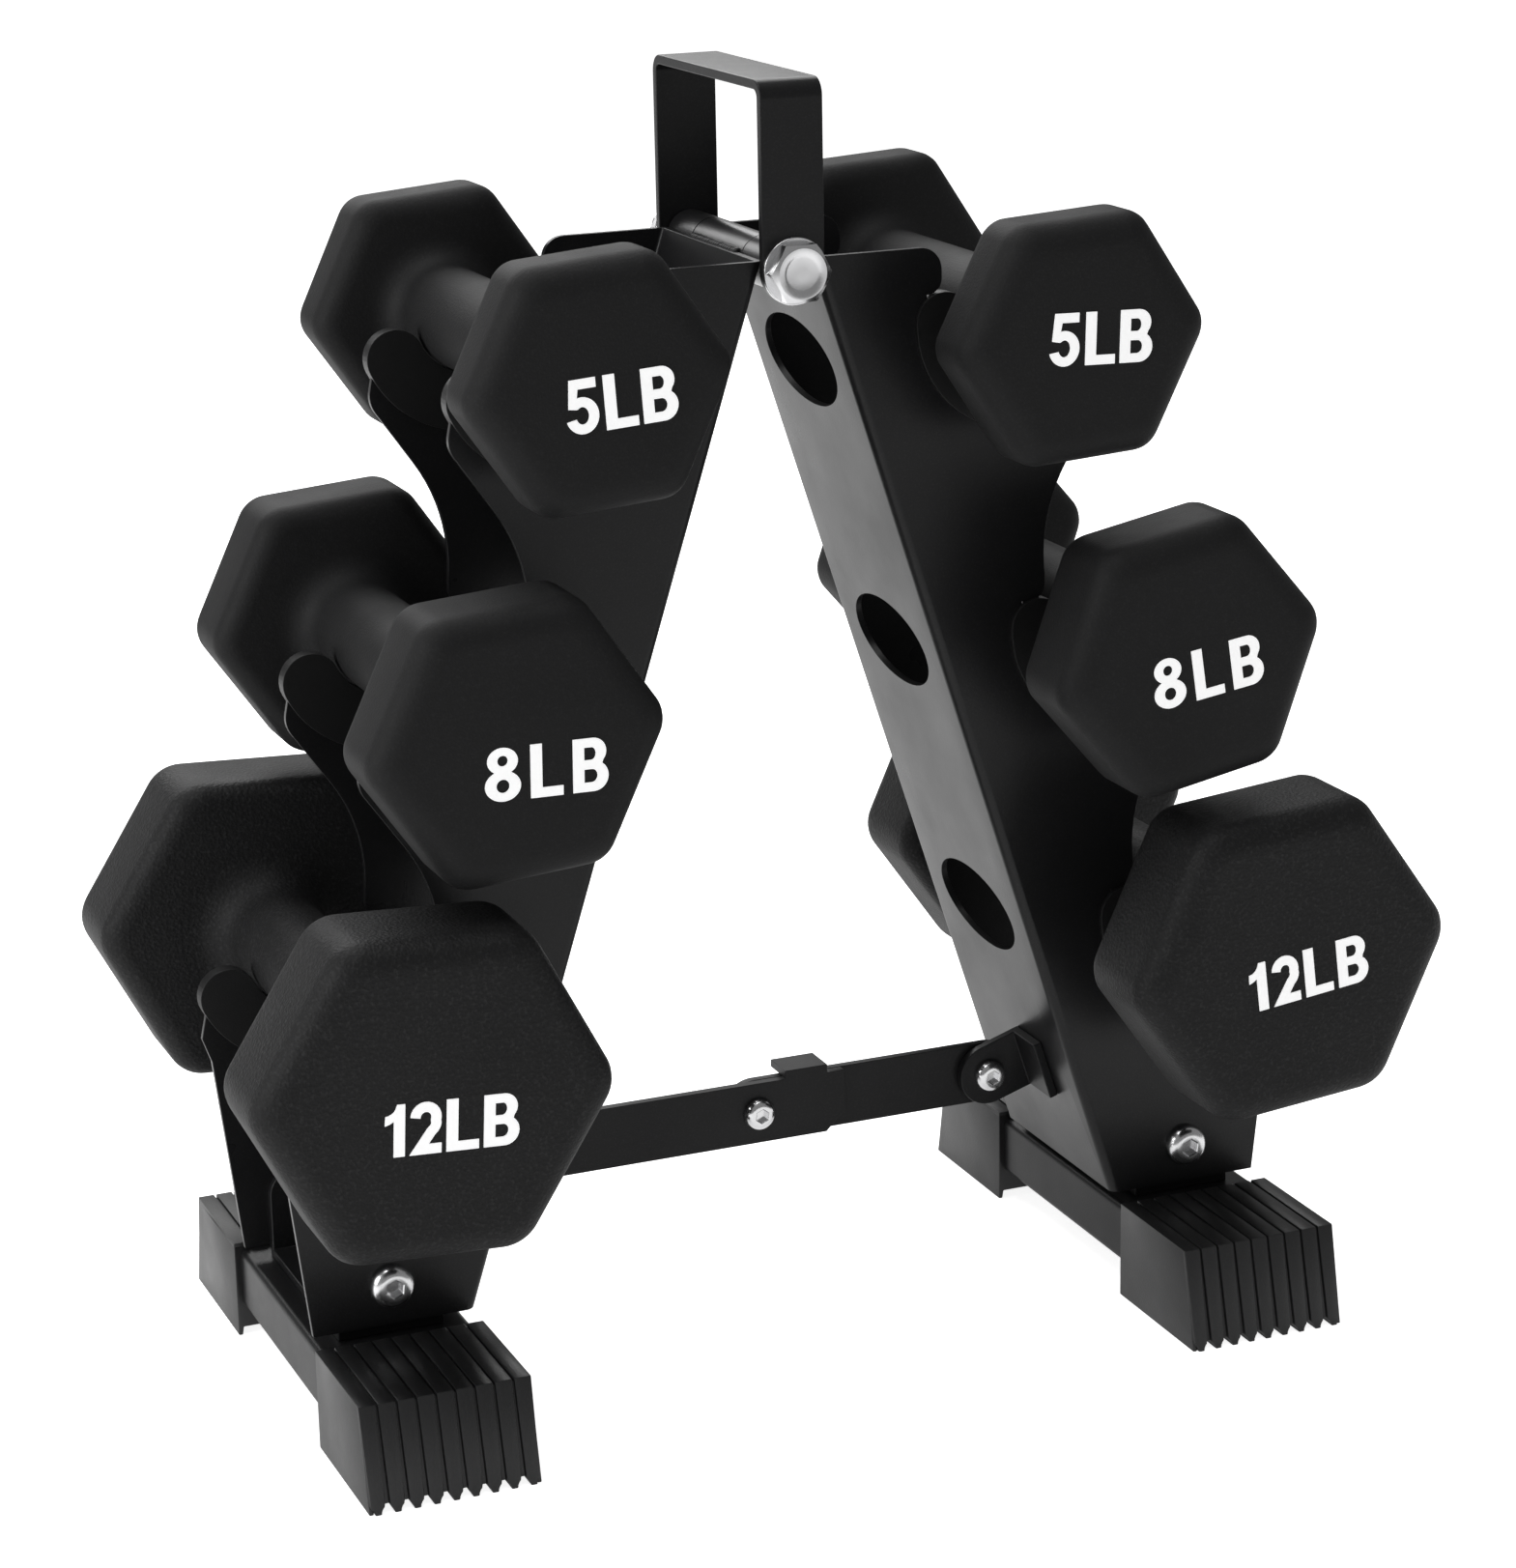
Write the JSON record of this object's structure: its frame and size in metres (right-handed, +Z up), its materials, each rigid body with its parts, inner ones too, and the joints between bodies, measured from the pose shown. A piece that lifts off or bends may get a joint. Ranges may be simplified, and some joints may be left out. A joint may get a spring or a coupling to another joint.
{
  "type": "dumbbell rack",
  "caption": "Folding A-frame dumbbell rack with a carry handle, three tiers of padded hooks on each leg, rubber feet, a folding stretcher and hexagonal dumbbells.",
  "frame": {"origin": "bottom centre of the bounding box, on the floor midway between the four feet", "axes": "+Z up, +Y towards the rear, +X towards the right-hand leg as seen from the front; the hinge pin lies along Y"},
  "size_m": [0.3907, 0.216, 0.405],
  "materials": {
    "powder_black": "satin powder coat",
    "tube_black": "satin powder coat",
    "barrel_black": "semi-gloss",
    "stay_black": "satin",
    "liner_black": "matte",
    "cap_rubber": "matte ribbed",
    "bright_steel": "bright zinc",
    "coat_black": "fine-grained matte",
    "core_iron": "raw cast"
  },
  "bodies": {
    "handle": {"carry_handle": "powder_black", "pivot_bolt": "bright_steel", "pivot_washers": "bright_steel", "pivot_nut": "bright_steel"},
    "left_leg": {"left_leg": "powder_black", "left_saddle_liners": "liner_black", "left_knuckles": "barrel_black", "left_foot_tube": "tube_black", "left_foot_bracket": "powder_black", "left_front_cap": "cap_rubber", "left_rear_cap": "cap_rubber", "left_leg_bolts": "bright_steel", "left_leg_nuts": "bright_steel", "left_stay_tab": "stay_black", "left_stay_bolt": "bright_steel", "left_stay_nut": "bright_steel"},
    "right_leg": {"right_leg": "powder_black", "right_saddle_liners": "liner_black", "right_knuckles": "barrel_black", "right_foot_tube": "tube_black", "right_foot_bracket": "powder_black", "right_front_cap": "cap_rubber", "right_rear_cap": "cap_rubber", "right_leg_bolts": "bright_steel", "right_leg_nuts": "bright_steel", "right_stay_tab": "stay_black", "right_stay_bolt": "bright_steel", "right_stay_nut": "bright_steel"},
    "left_stay": {"left_stay_bar": "stay_black", "middle_bolt": "bright_steel"},
    "right_stay": {"right_stay_bar": "stay_black", "middle_nut": "bright_steel"},
    "left_5_dumbbell": {"left_5_core": "core_iron", "left_5_coat": "coat_black"},
    "left_8_dumbbell": {"left_8_core": "core_iron", "left_8_coat": "coat_black"},
    "left_12_dumbbell": {"left_12_core": "core_iron", "left_12_coat": "coat_black"},
    "right_5_dumbbell": {"right_5_core": "core_iron", "right_5_coat": "coat_black"},
    "right_8_dumbbell": {"right_8_core": "core_iron", "right_8_coat": "coat_black"},
    "right_12_dumbbell": {"right_12_core": "core_iron", "right_12_coat": "coat_black"}
  },
  "joints": [
    {"name": "left_leg_fold", "type": "hinge", "parent": "handle", "child": "left_leg", "pos_m": [0, 0, 0.3485], "axis": [0, -1, 0], "range_deg": [0, 14.22]},
    {"name": "right_leg_fold", "type": "hinge", "parent": "handle", "child": "right_leg", "pos_m": [0, 0, 0.3485], "axis": [0, 1, 0], "range_deg": [0, 14.22]},
    {"name": "left_stay_fold", "type": "hinge", "parent": "left_leg", "child": "left_stay", "pos_m": [-0.0831, 0, 0.0673], "axis": [0, -1, 0], "range_deg": [0, 67.9]},
    {"name": "right_stay_fold", "type": "hinge", "parent": "right_leg", "child": "right_stay", "pos_m": [0.0831, 0, 0.0673], "axis": [0, 1, 0], "range_deg": [0, 67.9]},
    {"name": "left_5_lift", "type": "slide", "parent": "left_leg", "child": "left_5_dumbbell", "axis": [-0.4695, 0, 0.8829], "range_m": [0, 0.12]},
    {"name": "left_8_lift", "type": "slide", "parent": "left_leg", "child": "left_8_dumbbell", "axis": [-0.6018, 0, 0.7986], "range_m": [0, 0.12]},
    {"name": "left_12_lift", "type": "slide", "parent": "left_leg", "child": "left_12_dumbbell", "axis": [-0.6018, 0, 0.7986], "range_m": [0, 0.12]},
    {"name": "right_5_lift", "type": "slide", "parent": "right_leg", "child": "right_5_dumbbell", "axis": [0.4695, 0, 0.8829], "range_m": [0, 0.12]},
    {"name": "right_8_lift", "type": "slide", "parent": "right_leg", "child": "right_8_dumbbell", "axis": [0.6018, 0, 0.7986], "range_m": [0, 0.12]},
    {"name": "right_12_lift", "type": "slide", "parent": "right_leg", "child": "right_12_dumbbell", "axis": [0.6018, 0, 0.7986], "range_m": [0, 0.12]}
  ],
  "couplings": [
    {"joint": "right_leg_fold", "follows": "left_leg_fold", "ratio": 1},
    {"joint": "left_stay_fold", "follows": "left_leg_fold", "ratio": 4.7715},
    {"joint": "right_stay_fold", "follows": "left_leg_fold", "ratio": 4.7715},
    {"joint": "left_12_lift", "follows": "left_8_lift", "ratio": 1},
    {"joint": "right_12_lift", "follows": "right_8_lift", "ratio": 1}
  ]
}
